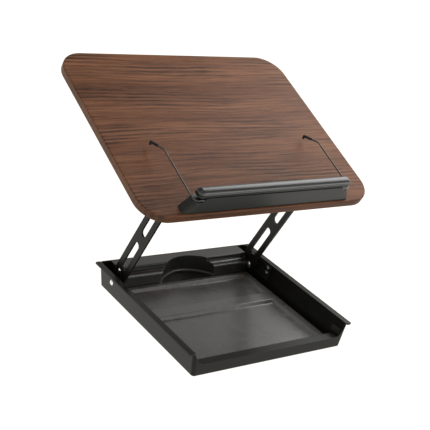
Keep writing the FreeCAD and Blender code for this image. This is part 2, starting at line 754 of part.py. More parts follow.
def pivot_washers(name, side):
    """A friction washer on each side of the arm and its leaf."""
    outward = Vector(side, 0, 0)
    rings = []
    for x in ("arm_face - side_gap - washer_thick", f"{LEAF_OUTER} + side_gap"):
        rings.append(ring("washer_radius", "pin_radius + running_gap", "washer_thick",
                          PIVOT + outward * number(x), outward))
    return keep(name, group(rings))


# Arms


def arm_lift(side, inner, thick):
    """Where a plate starts along X so that it lies on its own side of the centre."""
    return inner if side > 0 else f"-({inner} + {thick})"


def straight_edge(centre, radius, far, far_radius):
    """Ends of a straight edge that touches two round ends on its right, as formulas."""
    across = f"({far[0]}) - ({centre[0]})"
    along = f"({far[1]}) - ({centre[1]})"
    reach = f"hypot({across}; {along})"
    facing = f"(atan2({along}; {across}) - acos((({radius}) - ({far_radius})) / {reach}))"
    ends = []
    for spot, r in ((centre, radius), (far, far_radius)):
        ends.append((f"{spot[0]} + ({r}) * cos({facing})", f"{spot[1]} + ({r}) * sin({facing})"))
    return ends


def arm_plate(name, side):
    body = new_body(name, ARM)
    front = "arm_offset - arm_width / 2"
    rear = "arm_offset + arm_width / 2"
    pin_end = (("0", "0"), "arm_width / 2 - arm_offset")
    rod_end = (("rod_offset", "arm_length"), "arm_offset + arm_width / 2 - rod_offset")
    heel = (rear, "arm_heel")
    shoulder = (front, "arm_shoulder")
    outline = sketch_on(body, "YZ_Plane", arm_lift(side, "arm_face", "arm_thick"))
    under_pin = straight_edge(*pin_end, heel, "0")[0]
    over_rod = straight_edge(*rod_end, shoulder, "0")[0]
    polygon(outline, [(front, "0"), under_pin, heel, (rear, "arm_length"), over_rod, shoulder])
    pad(body, outline, "arm_thick")
    for centre, radius in (pin_end, rod_end):
        hub = sketch_on(body, "YZ_Plane", arm_lift(side, "arm_face", "arm_thick"))
        circle(hub, centre, radius)
        pad(body, hub, "arm_thick")
    upper_start = "slot_start + slot_length + web_length"
    for low, length in (("slot_start", "slot_length"), (upper_start, "upper_slot_length")):
        opening = sketch_on(body, "YZ_Plane")
        slot(opening, "arm_offset", low, f"{low} + {length}", "slot_width")
        pocket(body, opening, "4 * arm_face", midplane=True)
    holes = ((pin_end[0], "pin_radius + running_gap"),
             (rod_end[0], "rod_radius + running_gap"),
             (("rivet_offset", "rivet_along"), "small_screw_radius"))
    for centre, radius in holes:
        bore = sketch_on(body, "YZ_Plane")
        circle(bore, centre, radius)
        pocket(body, bore, "4 * arm_face", midplane=True)
    return keep(name, body)


def hinge_leaf(name, side):
    """A small link plate riveted outside the arm, round the pin."""
    body = new_body(name, ARM)
    lift = arm_lift(side, "arm_face + arm_thick", "leaf_thick")
    pin_end = (("0", "0"), "leaf_pin_radius")
    rivet_end = (("rivet_offset", "rivet_along"), "leaf_end_radius")
    link = sketch_on(body, "YZ_Plane", lift)
    polygon(link, straight_edge(*pin_end, *rivet_end) + straight_edge(*rivet_end, *pin_end))
    pad(body, link, "leaf_thick")
    for centre, radius in (pin_end, rivet_end):
        end = sketch_on(body, "YZ_Plane", lift)
        circle(end, centre, radius)
        pad(body, end, "leaf_thick")
    for centre, radius in ((pin_end[0], "pin_radius + running_gap"),
                           (rivet_end[0], "small_screw_radius")):
        bore = sketch_on(body, "YZ_Plane")
        circle(bore, centre, radius)
        pocket(body, bore, "4 * arm_face", midplane=True)
    return keep(name, body)


def arm_rivets():
    rivets = []
    for side in SIDES.values():
        outward = Vector(side, 0, 0)
        spot = Vector(0, size("rivet_offset"), size("rivet_along"))
        inner = ARM.multVec(spot + outward * size("arm_face"))
        outer = ARM.multVec(spot + outward * number(LEAF_OUTER))
        shank = cylinder("small_screw_radius", "arm_thick + leaf_thick", inner, outward)
        head = domed_head("small_head_radius", "small_head_height", outer, outward)
        rivets.append(fuse([shank, head]))
    return keep("arm_rivets", group(rivets))


# Cross rod between the arms


def cross_rod():
    """A round rod from nut to nut."""
    half = f"{NUT_FACE} + rod_nut_length / 2"
    return keep("cross_rod", cylinder("rod_radius", f"2 * ({half})",
                                      ROD - X_AXIS * number(half), X_AXIS))


def rod_nuts():
    """Nuts that close the rod's ends outside the arms."""
    nuts = []
    for side in SIDES.values():
        outward = Vector(side, 0, 0)
        face = ROD + outward * number(NUT_FACE)
        nut = doc.addObject("Part::Prism", "Nut")
        nut.Polygon = 6
        bind(nut, "Circumradius", "rod_nut_radius")
        bind(nut, "Height", "rod_nut_length")
        nut.Placement = Placement(face, Rotation(Z_AXIS, outward))
        bore = cylinder("rod_radius", "rod_nut_length / 2", face, outward)
        nuts.append(cut(nut, bore))
    return keep("rod_nuts", group(nuts))


def rod_washers():
    """A washer on each side of each arm."""
    rings = []
    for side in SIDES.values():
        outward = Vector(side, 0, 0)
        for x in ("arm_face - side_gap - washer_thick", "arm_face + arm_thick + side_gap"):
            rings.append(ring("washer_radius", "rod_radius", "washer_thick",
                              ROD + outward * number(x), outward))
    return keep("rod_washers", group(rings))


# Reading board; its frame has X across, Y up the slope and Z out of its face


def leaf_screw_places(side):
    """Screws of a board bracket, across and up the board."""
    middle = signed(side, f"{KNUCKLE_OUTER} - leaf_width / 2")
    near = f"{ROD_UP} + leaf_screw_near"
    return [(f"{middle} - leaf_screw_spread", near), (f"{middle} + leaf_screw_spread", near),
            (middle, f"{ROD_UP} + leaf_screw_far")]


def ledge_screw_places():
    """Screws that hold the ledge from under the board, across and up the board."""
    middle = "ledge_start + ledge_depth / 2"
    return [("-ledge_screw_x", middle), ("0", middle), ("ledge_screw_x", middle)]


def on_board(place, level):
    """A point of the board, from formulas across, up and out of its face."""
    return BOARD.multVec(Vector(number(place[0]), number(place[1]), number(level)))


def board():
    body = new_body("board", BOARD)
    outline = sketch_on(body, "XY_Plane")
    rectangle(outline, "-board_width / 2", "board_width / 2", "0", "board_length")
    pad(body, outline, "board_thick", backwards=True)
    round_edges(body, "board_corner", upright)
    round_edges(body, "board_edge", lambda edge: edge.BoundBox.ZLength < 0.01)
    pilots = sketch_on(body, "XY_Plane", "-board_thick")
    for place in leaf_screw_places(-1) + leaf_screw_places(1):
        circle(pilots, place, "board_screw_radius")
    pocket(body, pilots, "board_screw_depth", backwards=True)
    bores = sketch_on(body, "XY_Plane")
    seats = sketch_on(body, "XY_Plane", "-board_thick")
    for place in ledge_screw_places():
        circle(bores, place, "board_screw_radius + running_gap")
        circle(seats, place, "board_head_radius + running_gap")
    pocket(body, bores, "board_thick")
    pocket(body, seats, "board_head_height + fit_gap", backwards=True)
    return keep("board", body)


def board_bracket(name, side):
    """A knuckle on the cross rod with a leaf screwed under the board."""
    inward = Vector(-side, 0, 0)
    start = signed(side, KNUCKLE_OUTER if side < 0 else f"{KNUCKLE_OUTER} - leaf_width")
    leaf_corner = on_board((start, ROD_UP), "-board_thick - board_leaf_thick")
    leaf = box("leaf_width", "leaf_length", "board_leaf_thick", Placement(leaf_corner, TILT))
    outer = ROD + inward * -number(KNUCKLE_OUTER)
    knuckle = cylinder("knuckle_radius", "knuckle_length", outer, inward)
    start = signed(side, KNUCKLE_OUTER if side < 0 else f"{KNUCKLE_OUTER} - knuckle_length")
    neck_corner = on_board((start, ROD_UP), "-board_thick - rod_below_board")
    neck = box("knuckle_length", "knuckle_radius", "rod_below_board", Placement(neck_corner, TILT))
    bore = cylinder("rod_radius + running_gap", "knuckle_length + 2 * cut_spare",
                    outer - inward * size("cut_spare"), inward)
    solid = cut(fuse([leaf, knuckle, neck]), bore)
    for place in leaf_screw_places(side):
        hole = cylinder("board_screw_radius + running_gap", "2 * board_leaf_thick",
                        on_board(place, "-board_thick - 2 * board_leaf_thick"), OUT_OF_BOARD)
        solid = cut(solid, hole)
    return keep(name, solid)


def board_bracket_screws():
    screws = []
    for place in leaf_screw_places(-1) + leaf_screw_places(1):
        face = on_board(place, "-board_thick - board_leaf_thick")
        head = domed_head("board_head_radius", "board_head_height", face, OUT_OF_BOARD * -1)
        shank = cylinder("board_screw_radius", "board_leaf_thick + board_screw_depth - fit_gap",
                         face, OUT_OF_BOARD)
        screws.append(fuse([head, shank]))
    return keep("board_bracket_screws", group(screws))


def lid_pads():
    """Rubber pads under the board that meet the deck when the stand is shut."""
    up_board = f"pivot_back - lid_pad_back + arm_length + {ROD_UP}"
    length = "pivot_z + rod_offset + rod_below_board - tray_height - lid_pad_gap"
    pads = []
    for side in SIDES.values():
        spot = on_board((signed(side, "lid_pad_x"), up_board), "-board_thick")
        pads.append(cylinder("lid_pad_radius", length, spot, OUT_OF_BOARD * -1))
    return keep("lid_pads", group(pads))


# Ledge along the lower edge of the board


def ledge_body():
    body = new_body("ledge_body", BOARD)
    front = "ledge_start"
    back = "ledge_start + ledge_depth"
    wedge(body, "PartDesign::AdditiveWedge",
          "0", ("-ledge_foot_length / 2", "ledge_foot_length / 2", front, back),
          "ledge_height", ("-ledge_top_length / 2", "ledge_top_length / 2", front, back))
    round_edges(body, "ledge_corner", lambda edge: upright(edge, 1))

    wedge(body, "PartDesign::AdditiveWedge",
          "ledge_height", ("-notch_span / 2", "notch_span / 2", front, back),
          "ledge_height + notch_height", ("-notch_top_span / 2", "notch_top_span / 2", front, back))
    half = "ledge_top_length / 2 - neck_inset"
    levels = ((half, f"{front} + neck_inset", f"{back} - neck_inset",
               "ledge_height + notch_height", "neck_height", "ledge_corner"),
              ("cap_length / 2 - groove_inset", "cap_start + groove_inset",
               "cap_start + cap_depth - groove_inset",
               "ledge_height + notch_height + neck_height", "groove_height", "groove_corner"))
    for reach, near, far, lift, rise, corner in levels:
        band = sketch_on(body, "XY_Plane", lift)
        rectangle(band, f"-({reach})", reach, near, far)
        pad(body, band, rise)
        foot = number(lift)

        round_edges(body, corner, lambda edge: edge.BoundBox.ZMin > foot - 0.01
                    and upright(edge))
    for side in ("-", ""):
        bore = sketch_on(body, "YZ_Plane", f"{side}notch_span / 2")
        circle(bore, ("clip_axis_up", "clip_axis_high"), "clip_radius + running_gap")
        pocket(body, bore, "clip_socket + fit_gap", backwards=(side == "-"))
    pilots = sketch_on(body, "XY_Plane")
    for place in ledge_screw_places():
        circle(pilots, place, "board_screw_radius")
    pocket(body, pilots, "board_screw_depth", backwards=True)
    return keep("ledge_body", body)


def ledge_cap():
    body = new_body("ledge_cap", BOARD)
    lift = "ledge_height + notch_height + neck_height + groove_height"
    outline = sketch_on(body, "XY_Plane", lift)
    rectangle(outline, "-cap_length / 2", "cap_length / 2", "cap_start", "cap_start + cap_depth")
    pad(body, outline, "cap_height")
    foot = number(lift)
    round_edges(body, "cap_corner", upright)
    round_edges(body, "cap_dome", lambda edge: level_at(edge, foot + size("cap_height")))
    round_edges(body, "cap_brim", lambda edge: level_at(edge, foot))
    return keep("ledge_cap", body)


def ledge_screws():
    seat = "-board_thick + fit_gap"
    length = f"-({seat}) + board_screw_depth - fit_gap"
    screws = []
    for place in ledge_screw_places():
        face = on_board(place, seat)
        head = cylinder("board_head_radius", "board_head_height", face, OUT_OF_BOARD)
        shank = cylinder("board_screw_radius", length, face, OUT_OF_BOARD)
        screws.append(fuse([head, shank]))
    return keep("ledge_screws", group(screws))


# Page clips


def clip_frame():
    """Origin on the clips' hinge, Y along their arms, Z away from the board."""
    spot = Vector(0, size("clip_axis_up"), size("clip_axis_high"))
    lift = Rotation(X_AXIS, size("clip_angle"))
    return BOARD.multiply(Placement(spot, lift))


def clip_end_direction():
    turn = math.radians(size("clip_turn_angle"))
    return Vector(0, math.cos(turn), -math.sin(turn))


def clip_points(side):
    """Straight ends of the wire on each side of its two bends, in the clip's frame."""
    reach = size("clip_reach")
    bend = size("clip_bend")
    knee = size("clip_knee")
    half_turn = math.radians(size("clip_turn_angle")) / 2
    trim = knee * math.tan(half_turn)
    corner = Vector(side * reach, size("clip_straight"), 0)
    end = clip_end_direction()
    return {
        "root": Vector(side * (size("notch_span") / 2 - size("clip_socket")), 0, 0),
        "bend_in": Vector(side * (reach - bend), 0, 0),
        "bend_middle": Vector(side * (reach - bend + bend * math.sin(math.pi / 4)),
                              bend - bend * math.cos(math.pi / 4), 0),
        "bend_out": Vector(side * reach, bend, 0),
        "knee_in": corner - Y_AXIS * trim,
        "knee_out": corner + end * trim,
        "tip": corner + end * size("clip_end"),
    }


def knee_middle(points):
    """Middle of the second bend's arc."""
    half_turn = math.radians(size("clip_turn_angle")) / 2
    knee = size("clip_knee")
    centre = points["knee_in"] - Z_AXIS * knee
    return centre + Vector(0, math.sin(half_turn), math.cos(half_turn)) * knee


def clip_wire(name, side):
    points = clip_points(side)
    path = Part.Wire([
        Part.LineSegment(points["root"], points["bend_in"]).toShape(),
        Part.Arc(points["bend_in"], points["bend_middle"], points["bend_out"]).toShape(),
        Part.LineSegment(points["bend_out"], points["knee_in"]).toShape(),
        Part.Arc(points["knee_in"], knee_middle(points), points["knee_out"]).toShape(),
        Part.LineSegment(points["knee_out"], points["tip"]).toShape(),
    ])
    section = Part.Wire(Part.Circle(points["root"], X_AXIS, size("clip_radius")).toShape())
    tube = path.makePipeShell([section], True, False)
    wire = doc.addObject("Part::Feature", f"{name}_clip_wire")
    wire.Shape = tube
    wire.Placement = clip_frame()
    expected = math.pi * size("clip_radius") ** 2 * path.Length
    if abs(tube.Volume / expected - 1) > 0.01:
        raise RuntimeError(f"{name}_clip_wire: volume {tube.Volume:.1f}, expected {expected:.1f}")
    return keep(f"{name}_clip_wire", wire)


def clip_tip(name, side):
    """A rubber sleeve on the end of the wire, with a toe turned to the board."""
    end = clip_end_direction()
    tip = clip_points(side)["tip"]
    radius = size("tip_radius")
    start = tip - end * size("tip_length")
    sleeve = Part.makeCylinder(radius, size("tip_length") + radius, start, end)
    heel = tip + end * radius
    toe_way = Rotation(X_AXIS, -size("tip_hook_angle")).multVec(end)
    toe = Part.makeCylinder(radius, size("tip_toe"), heel, toe_way)
    rubber = sleeve.fuse(Part.makeSphere(radius, heel)).fuse(toe)
    rubber = rubber.fuse(Part.makeSphere(radius, heel + toe_way * size("tip_toe"))).removeSplitter()
    wire_end = Part.makeCylinder(size("clip_radius"), size("tip_length"), start, end)
    piece = doc.addObject("Part::Feature", f"{name}_clip_tip")
    piece.Shape = rubber.cut(wire_end)
    piece.Placement = clip_frame()
    return keep(f"{name}_clip_tip", piece)


# Assembly

tray_shell()
front_rail()
floor_insert()
rear_block()
grip_mat()
corner_blocks()
arm_rivets()
cross_rod()
rod_nuts()
rod_washers()
board()
board_bracket_screws()
lid_pads()
ledge_body()
ledge_cap()
ledge_screws()
for word, sign in SIDES.items():
    hinge_bracket(f"{word}_hinge_bracket", sign)
    bracket_screws(f"{word}_bracket_screws", sign)
    pivot_pin(f"{word}_pivot_pin", sign)
    pivot_sleeve(f"{word}_pivot_sleeve", sign)
    pivot_washers(f"{word}_pivot_washers", sign)
    arm_plate(f"{word}_arm", sign)
    hinge_leaf(f"{word}_hinge_leaf", sign)
    board_bracket(f"{word}_board_bracket", sign)
    clip_wire(word, sign)
    clip_tip(word, sign)

doc.recompute()
for item in doc.Objects:
    if "Invalid" in item.State or "Error" in item.State:
        raise RuntimeError(f"{item.Label} failed: {item.State}")
for name, solid in nodes.items():
    if solid.Shape.isNull() or not solid.Shape.isValid() or not solid.Shape.Solids:
        raise RuntimeError(f"{name} has no valid shape")

os.makedirs("parts", exist_ok=True)
for name, solid in nodes.items():
    solid.Shape.exportStep(f"parts/{name}.step")
    print(f"{name}: {len(solid.Shape.Solids)} solid(s), {solid.Shape.Volume / 1000:.2f} cm3")
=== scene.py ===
"""Looks of a folding reading stand: finishes, small fittings, studio and camera.

Lengths are in metres and angles in degrees, in the stand's own frame: X to the reader's right,
Y away from the reader and Z up from the table top.
"""
import json
import math

import bmesh
import bpy
from mathutils import Matrix, Vector


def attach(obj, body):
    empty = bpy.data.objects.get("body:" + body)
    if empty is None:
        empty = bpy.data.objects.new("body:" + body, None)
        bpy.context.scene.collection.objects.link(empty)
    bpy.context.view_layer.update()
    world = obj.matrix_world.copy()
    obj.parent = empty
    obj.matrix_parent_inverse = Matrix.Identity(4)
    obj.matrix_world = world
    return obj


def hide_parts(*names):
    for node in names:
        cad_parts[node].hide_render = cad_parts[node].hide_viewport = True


MM = 0.001

# The board as it stands: its slope, and the middle of the lower edge of its upper face
BOARD_SLOPE = 22.05
BOARD_FOOT = Vector((0, -0.054544, 0.2042667))
BOARD_THICK = 12 * MM

# The wood's figure: how often each layer changes in a metre along the grain, across it and down
DRIFT = (3, 7, 7)
RIPPLE = (28, 60, 60)
BANDS = (1.6, 22, 22)
STREAKS = (8, 290, 290)
RING_ZONES = (4, 16, 16)
FIBRES = (40, 1500, 1500)
PORES = (130, 2600, 2600)

# How far the grain sways aside, and the distance between its even dark lines
DRIFT_SWAY = 22 * MM
RIPPLE_SWAY = 2.2 * MM
RING_PITCH = 7.3 * MM
RING_SHARE = 0.2

# The wood's colours, and those of the band round its edge, with painted shade darkening the band along the
# front
HEART_DARK = (0.142, 0.050, 0.020)
HEART_LIGHT = (0.262, 0.108, 0.051)
LINE_BROWN = (0.026, 0.009, 0.005)
FIBRE_BROWN = (0.32, 0.165, 0.10)
PORE_BROWN = (0.035, 0.015, 0.010)
RUBBED_AND_HIGHLIT_BROWN = (0.33, 0.22, 0.16)
BAND_FRONT_SHADED = (0.014, 0.007, 0.004)
BAND_SIDE = (0.105, 0.062, 0.041)
BAND_SHARE = 0.6
BAND_FADE = (0.4 * MM, 1.2 * MM)
FRONT_REACH = 30 * MM
PORE_DEPTH = 0.06 * MM

# Paints and plastics: colour, roughness, grit in a metre, share and width in mm of edges lightened partly
# by wear and partly as a painted highlight, sheen
COATS = {
    "tray_paint": ((0.006, 0.0058, 0.0046), 0.31, 1700, 0.6, 0.6, 0.18),
    "arm_paint": ((0.0065, 0.0062, 0.005), 0.36, 1900, 0.6, 0.5, 0.16),
    "dark_steel": ((0.007, 0.007, 0.007), 0.32, 2400, 0.8, 0.4, 0.4),
    "insert_plastic": ((0.085, 0.085, 0.079), 0.27, 2600, 0.8, 0.8, 0.95),
    "block_plastic": ((0.011, 0.011, 0.0095), 0.33, 2600, 0.6, 0.8, 0.55),
    "ledge_plastic": ((0.0085, 0.0088, 0.0068), 0.30, 2600, 0.4, 0.5, 0.25),
    "cap_plastic": ((0.008, 0.008, 0.007), 0.31, 2600, 0.2, 0.4, 0.75),
    "washer_plastic": ((0.022, 0.022, 0.022), 0.5, 3000, 0.3, 0.2, 0.5),
}

# Bare metals: colour, roughness, brush marks in a metre along each axis, depth of the dull blotches
METALS = {
    "steel": ((0.45, 0.44, 0.42), 0.26, (900, 90, 900), 0.15),
    "chrome": ((0.82, 0.82, 0.82), 0.08, (1200, 300, 1200), 0.05),
    "spring_wire": ((0.10, 0.095, 0.09), 0.3, (900, 90, 900), 0.15),
}

# The clips are of a darker spring wire than the other steel pieces
SPRUNG = ("left_clip_wire", "right_clip_wire")

# The ledge's cap: its thin brim, how far the dome stands in from it, and the steps of its curves
CAP_BRIM = 0.8 * MM
CAP_BRIM_INSET = 0.35 * MM
CAP_STRAIGHT = 0.4 * MM
CAP_CLOSED = 0.995
CAP_RINGS = 14
CAP_STEPS = 12

# The two kinds of socket screws
WALL_SCREW = {
    "Head Radius": 2.8 * MM,
    "Head Height": 1.4 * MM,
    "Socket Radius": 1.3 * MM,
    "Shank Radius": 1.5 * MM,
    "Shank Length": 3.5 * MM,
}
LEAF_SCREW = {
    "Head Radius": 3.8 * MM,
    "Head Height": 1.5 * MM,
    "Socket Radius": 1.7 * MM,
    "Shank Radius": 2 * MM,
    "Shank Length": 10.7 * MM,
}
SCREW_SIDES = 40
SHANK_SIDES = 24
SOCKET_SIDES = 6
CROWN_SHARE = 0.72

# Seats on the tray's leaning side walls: distance from the middle, depth and height
WALL_LEAN = 7.9
WALL_SEATS = ((0.13148, 0.060, 0.02609), (0.132615, 0.060, 0.0342), (0.132615, 0.092, 0.0342))

# Seats under the board's brackets: distance from the middle and up the slope, at one depth
LEAF_SEATS = ((0.0963, 0.0946), (0.1111, 0.0946), (0.1037, 0.1136))
LEAF_FACE = -13.85 * MM

# The studio: the world's light falls off between two heights of the view, above a glowing table top
STUDIO_TONE = (1, 0.985, 0.95, 1)
STUDIO_FALL = {"From Min": 0.12, "From Max": 0.85, "To Min": 1.0, "To Max": 0.12}
FLOOR_HALF = 8
FLOOR_TONE = (0.1, 0.1, 0.1)
FLOOR_GLOW_TONE = (1, 0.98, 0.93, 1)
FLOOR_GLOW = 1.06

# Soft boxes: name, place, the point they face, width, height and power
SOFT_BOXES = (
    ("right_light", (0.78, 0.22, 0.95), (0, 0.05, 0.12), 0.8, 0.8, 8),
    ("front_light", (0.95, -1.2, 0.36), (0, 0, 0.05), 1.3, 0.36, 5.5),
    ("fill_light", (-0.5, -0.6, 1.6), (0, 0, 0.1), 1.2, 1.2, 3),
)

# The camera that took the photograph
CAMERA_PLACE = Vector((-0.8517, -0.9573, 0.6988))
CAMERA_AZIMUTH = -39.96
CAMERA_ELEVATION = 22.87
CAMERA_ROLL = 12.67
CAMERA_LENS = 81.82
CAMERA_SENSOR = 36


# Building blocks for the finishes

def socket_of(node, name):
    """An input socket by its name, or by its number after an underscore."""
    return node.inputs[int(name[1:]) if name[0] == "_" else name.replace("_", " ")]


class Finish:
    """A finish being built: its material, its node tree and the shader at its end."""

    def __init__(self, name, colour, roughness, metallic=0.0, specular=0.5):
        self.material = bpy.data.materials.new(name)
        self.material.use_nodes = True
        self.tree = self.material.node_tree
        self.shader = self.tree.nodes["Principled BSDF"]
        self.use(Base_Color=(*colour, 1), Roughness=roughness, Metallic=metallic,
                 Specular_IOR_Level=specular)

    def node(self, kind, **sockets):
        """A new node with its input sockets set or linked."""
        made = self.tree.nodes.new(kind)
        for name, value in sockets.items():
            self.feed(socket_of(made, name), value)
        return made

    def feed(self, socket, value):
        """Links an output to the socket, or sets the socket to a plain value."""
        if isinstance(value, bpy.types.NodeSocket):
            self.tree.links.new(value, socket)
        else:
            socket.default_value = value

    def place(self):
        """The point on the surface, in the stand's frame."""
        return self.node("ShaderNodeTexCoord").outputs["Object"]

    def vector_maths(self, operation, first, second):
        """A sum on two vectors: the node, for its vector or its value."""
        made = self.node("ShaderNodeVectorMath", _0=first, _1=second)
        made.operation = operation
        return made

    def maths(self, operation, first, second=0.0):
        """A sum on two numbers."""
        made = self.node("ShaderNodeMath", _0=first, _1=second)
        made.operation = operation
        return made.outputs["Value"]

    def times(self, first, second):
        """The product of two numbers."""
        return self.maths("MULTIPLY", first, second)

    def noise(self, place, scale, detail=2.0, roughness=0.5):
        """Soft cloudy noise from 0 to 1, with one scale or one for each axis."""
        if isinstance(scale, tuple):
            place = self.vector_maths("MULTIPLY", place, scale).outputs["Vector"]
            scale = 1.0
        return self.node("ShaderNodeTexNoise", Vector=place, Scale=scale, Detail=detail,
                         Roughness=roughness).outputs["Fac"]

    def axis(self, place, name):
        """One coordinate of a point."""
        return self.node("ShaderNodeSeparateXYZ", Vector=place).outputs[name]

    def spread(self, value, low, high, to_low=0.0, to_high=1.0):
        """A value from low to high moved to the range from to_low to to_high, and held there."""
        return self.node("ShaderNodeMapRange", Value=value, From_Min=low, From_Max=high,
                         To_Min=to_low, To_Max=to_high).outputs["Result"]

    def blend(self, share, first, second):
        """Two colours mixed by a share from 0 to 1."""
        made = self.tree.nodes.new("ShaderNodeMix")
        made.data_type = "RGBA"
        self.feed(made.inputs["Factor"], share)
        for name, colour in (("A", first), ("B", second)):
            self.feed(made.inputs[name], (*colour, 1) if isinstance(colour, tuple) else colour)
        return [out for out in made.outputs if out.type == "RGBA"][0]

    def edge_wear_and_highlight(self, radius, sharpness):
        """1 along sharp edges and 0 on flat faces, from how far a rounded normal turns; and that normal."""
        rounded = self.node("ShaderNodeBevel", Radius=radius)
        rounded.samples = 6
        flat = self.node("ShaderNodeNewGeometry").outputs["Normal"]
        turned = self.vector_maths("DOT_PRODUCT", rounded.outputs["Normal"], flat).outputs["Value"]
        return self.spread(turned, 1.0, 1.0 - sharpness), rounded.outputs["Normal"]

    def bump(self, height, distance, strength, **normal):
        """The surface raised by up to distance where height is 1, over a given normal if there is one."""
        return self.node("ShaderNodeBump", Height=height, Distance=distance, Strength=strength,
                         **normal).outputs["Normal"]

    def use(self, **sockets):
        """Feeds the shader's sockets."""
        for name, value in sockets.items():
            self.feed(socket_of(self.shader, name), value)
        return self.material


# Finishes

def walnut():
    """Walnut veneer with its grain from side to side, satin lacquer and banded edges."""
    wood = Finish("walnut_veneer", HEART_LIGHT, 0.42, specular=0.1)
    to_board = Matrix.Rotation(math.radians(-BOARD_SLOPE), 3, "X")
    board = wood.node("ShaderNodeMapping", Vector=wood.place(),
                      Location=-(to_board @ BOARD_FOOT),
                      Rotation=(math.radians(-BOARD_SLOPE), 0, 0)).outputs["Vector"]

    # The grain sways aside
    sway = wood.maths("ADD", wood.times(wood.noise(board, DRIFT, detail=1), DRIFT_SWAY),
                      wood.times(wood.noise(board, RIPPLE, detail=1), RIPPLE_SWAY))
    aside = wood.node("ShaderNodeCombineXYZ", Y=sway).outputs["Vector"]
    wavy = wood.vector_maths("ADD", board, aside).outputs["Vector"]

    # Dark lines, even in some zones and ragged in others
    turns = wood.times(wood.axis(wavy, "Y"), 2 * math.pi / RING_PITCH)
    ring = wood.spread(wood.maths("SINE", turns), -1, 1)
    ring_zone = wood.spread(wood.noise(wavy, RING_ZONES, detail=1), 0.42, 0.6, to_low=0.1)
    streaks = wood.noise(wavy, STREAKS, detail=5, roughness=0.68)
    lines = wood.maths("ADD", wood.times(wood.times(ring, ring_zone), RING_SHARE), streaks)

    # Colour from wide bands to single pores
    fibres = wood.noise(wavy, FIBRES, detail=3, roughness=0.6)
    pores = wood.noise(wavy, PORES, detail=1)
    heart = wood.blend(wood.spread(wood.noise(wavy, BANDS), 0.36, 0.64), HEART_DARK, HEART_LIGHT)
    lined = wood.blend(wood.spread(lines, 0.45, 0.71), heart, LINE_BROWN)
    fine = wood.blend(wood.spread(fibres, 0.38, 0.68, to_high=0.35), lined, FIBRE_BROWN)
    pored = wood.blend(wood.spread(pores, 0.62, 0.74, to_high=0.5), fine, PORE_BROWN)

    # The band round the edge, with painted shade along the front, and its corners, lighter partly from
    # rubbing and partly as a painted highlight
    height = wood.axis(board, "Z")
    near, far = BAND_FADE
    in_edge = wood.times(wood.spread(height, -near, -far),
                         wood.spread(height, near - BOARD_THICK, far - BOARD_THICK))
    # Painted shade: the band is darker near the front edge and lighter further up the slope
    band = wood.blend(wood.spread(wood.axis(board, "Y"), 0, FRONT_REACH), BAND_FRONT_SHADED, BAND_SIDE)
    banded = wood.blend(wood.times(in_edge, BAND_SHARE), pored, band)
    # Wear and painted highlight: the eased corners are lightened towards a pale brown
    wear_and_highlight_mask, rounded = wood.edge_wear_and_highlight(1.2 * MM, 0.2)
    rubbed_and_highlit = wood.blend(wood.times(wear_and_highlight_mask, 0.3), banded, RUBBED_AND_HIGHLIT_BROWN)

    grooves = wood.maths("ADD", wood.spread(pores, 0.6, 0.74, 1, 0), wood.times(fibres, 0.35))
    return wood.use(Base_Color=rubbed_and_highlit, Roughness=wood.spread(fibres, 0.3, 0.7, 0.4, 0.54),
                    Normal=wood.bump(grooves, PORE_DEPTH, 0.6, Normal=rounded))


def coated(name, colour, roughness, grit, wear_and_highlight_share, edge, sheen):
    """Baked paint or moulded plastic: a fine grit, uneven gloss and edges lightened partly by use and
    partly as a painted highlight.
    """
    coat = Finish(name, colour, roughness, specular=sheen)
    place = coat.place()
    fine = coat.noise(place, grit, roughness=0.55)
    cloud = coat.noise(place, 22, detail=3)
    deeper = tuple(part * 0.9 for part in colour)
    paler = tuple(part * 1.08 for part in colour)
    patchy = coat.blend(coat.spread(cloud, 0.35, 0.65), deeper, paler)
    # Wear and painted highlight: sharp edges are lightened towards a paler copy of the colour
    worn_and_highlit_tone = tuple(min(1, part * 2.6 + 0.02) for part in colour)
    wear_and_highlight_mask = coat.edge_wear_and_highlight(edge * MM, 0.1)[0]
    tint = coat.blend(coat.times(wear_and_highlight_mask, wear_and_highlight_share), patchy, worn_and_highlit_tone)
    uneven = coat.spread(coat.maths("ADD", cloud, coat.times(fine, 0.5)), 0.5, 1.0,
                         roughness - 0.015, roughness + 0.025)
    return coat.use(Base_Color=tint, Roughness=uneven, Normal=coat.bump(fine, 0.03 * MM, 0.35))


def rubber():
    """Matt rubber with a dusty bloom."""
    soft = Finish("rubber", (0.016, 0.016, 0.016), 0.75, specular=0.3)
    place = soft.place()
    bloom = soft.noise(place, 160, detail=4)
    tint = soft.blend(soft.spread(bloom, 0.35, 0.75), (0.011, 0.011, 0.011), (0.032, 0.031, 0.03))
    return soft.use(Base_Color=tint, Roughness=soft.spread(bloom, 0.3, 0.7, 0.65, 0.85),
                    Normal=soft.bump(soft.noise(place, 2200), 0.05 * MM, 0.6))


def bare_metal(name, colour, roughness, brush, blotch):
    """Plain steel or chrome: fine brush marks round it and a little dulling."""
    metal = Finish(name, colour, roughness, metallic=1.0)
    place = metal.place()
    marks = metal.noise(place, brush, detail=3, roughness=0.65)
    dull = metal.noise(place, 90, detail=3)
    duller = tuple(part * (1 - blotch) for part in colour)
    tint = metal.blend(metal.spread(dull, 0.35, 0.7), colour, duller)
    gloss = metal.spread(metal.maths("ADD", marks, dull), 0.6, 1.4, roughness * 0.75, roughness * 1.35)
    return metal.use(Base_Color=tint, Roughness=gloss, Normal=metal.bump(marks, 0.01 * MM, 0.4))


FINISHES = {"walnut": walnut(), "rubber": rubber()}
for coat_name, coat_look in COATS.items():
    FINISHES[coat_name] = coated(coat_name, *coat_look)
for metal_name, metal_look in METALS.items():
    FINISHES[metal_name] = bare_metal(metal_name, *metal_look)


# Fittings

